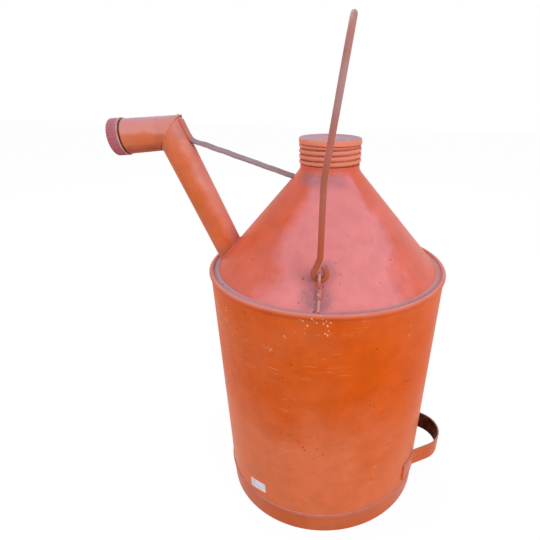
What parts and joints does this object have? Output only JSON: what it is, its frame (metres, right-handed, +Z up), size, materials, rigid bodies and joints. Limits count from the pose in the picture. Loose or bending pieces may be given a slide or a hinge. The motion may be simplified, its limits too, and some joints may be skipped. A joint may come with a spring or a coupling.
{
  "type": "oil can",
  "caption": "round sheet-metal oil can with a cone top, a screwed filler cap, a bent pouring spout with a knurled screw cap and a brace, a swinging wire bail and a strap handle low on the back for tilting it",
  "frame": {"origin": "centre of the foot's underside, where the can stands", "axes": "+Z up the can's axis, -X towards the spout, +X towards the tilt handle, Y along the bail's hinge; the object is longest along Z and shortest along Y"},
  "size_m": [0.3198, 0.2188, 0.4407],
  "materials": {
    "body_shell": "orange paint, worn, with fine scratches and grey dust",
    "rim_wire": "plain steel wire, hidden in the rim",
    "foot_ring": "orange paint, worn, with fine scratches and grey dust",
    "bottom_plate": "thin primer, rusty, unseen",
    "cone_top": "orange paint, worn, with fine scratches and grey dust",
    "filler_neck": "orange paint, worn, with fine scratches and grey dust",
    "filler_gasket": "dull black rubber",
    "filler_cap": "orange paint, worn, with fine scratches and grey dust",
    "spout_lower_tube": "orange paint, worn, with fine scratches and grey dust",
    "spout_upper_tube": "orange paint, worn, with fine scratches and grey dust",
    "spout_ferrule": "dull turned brass, hidden by the cap",
    "spout_gasket": "dull black rubber",
    "spout_cap": "dark maroon paint, rubbed at the rim",
    "spout_brace": "orange paint, worn, with fine scratches and grey dust",
    "bail": "steel wire with rubbed orange paint",
    "bail_ear_front": "steel wire, dusty paint",
    "bail_ear_back": "steel wire, dusty paint",
    "tilt_handle": "orange outside, bare brown inside"
  },
  "bodies": {
    "can": {"body_shell": "body_shell", "rim_wire": "rim_wire", "foot_ring": "foot_ring", "bottom_plate": "bottom_plate", "cone_top": "cone_top", "filler_neck": "filler_neck", "spout_lower_tube": "spout_lower_tube", "spout_upper_tube": "spout_upper_tube", "spout_ferrule": "spout_ferrule", "spout_brace": "spout_brace", "bail_ear_front": "bail_ear_front", "bail_ear_back": "bail_ear_back", "tilt_handle": "tilt_handle"},
    "bail": {"bail": "bail"},
    "filler_gasket": {"filler_gasket": "filler_gasket"},
    "filler_cap": {"filler_cap": "filler_cap"},
    "spout_gasket": {"spout_gasket": "spout_gasket"},
    "spout_cap": {"spout_cap": "spout_cap"}
  },
  "joints": [
    {"name": "bail_swing", "type": "hinge", "parent": "can", "child": "bail", "pos_m": [0, 0, 0.2824], "axis": [0, 1, 0], "range_deg": [-55, 108]},
    {"name": "filler_cap_lift", "type": "slide", "parent": "can", "child": "filler_gasket", "axis": [0, 0, 1], "range_m": [0, 0.0144]},
    {"name": "filler_cap_turn", "type": "hinge", "parent": "filler_gasket", "child": "filler_cap", "pos_m": [0, 0, 0.3445], "axis": [0, 0, 1], "range_deg": [0, 1260]},
    {"name": "spout_cap_slide", "type": "slide", "parent": "can", "child": "spout_gasket", "axis": [-0.9957, 0, -0.0924], "range_m": [0, 0.0076]},
    {"name": "spout_cap_turn", "type": "hinge", "parent": "spout_gasket", "child": "spout_cap", "pos_m": [-0.1328, 0, 0.3636], "axis": [-0.9957, 0, -0.0924], "range_deg": [0, 1080]}
  ],
  "couplings": [
    {"joint": "filler_cap_lift", "follows": "filler_cap_turn", "m_per_rad": 0.00065253},
    {"joint": "spout_cap_slide", "follows": "spout_cap_turn", "m_per_rad": 0.00039789}
  ]
}
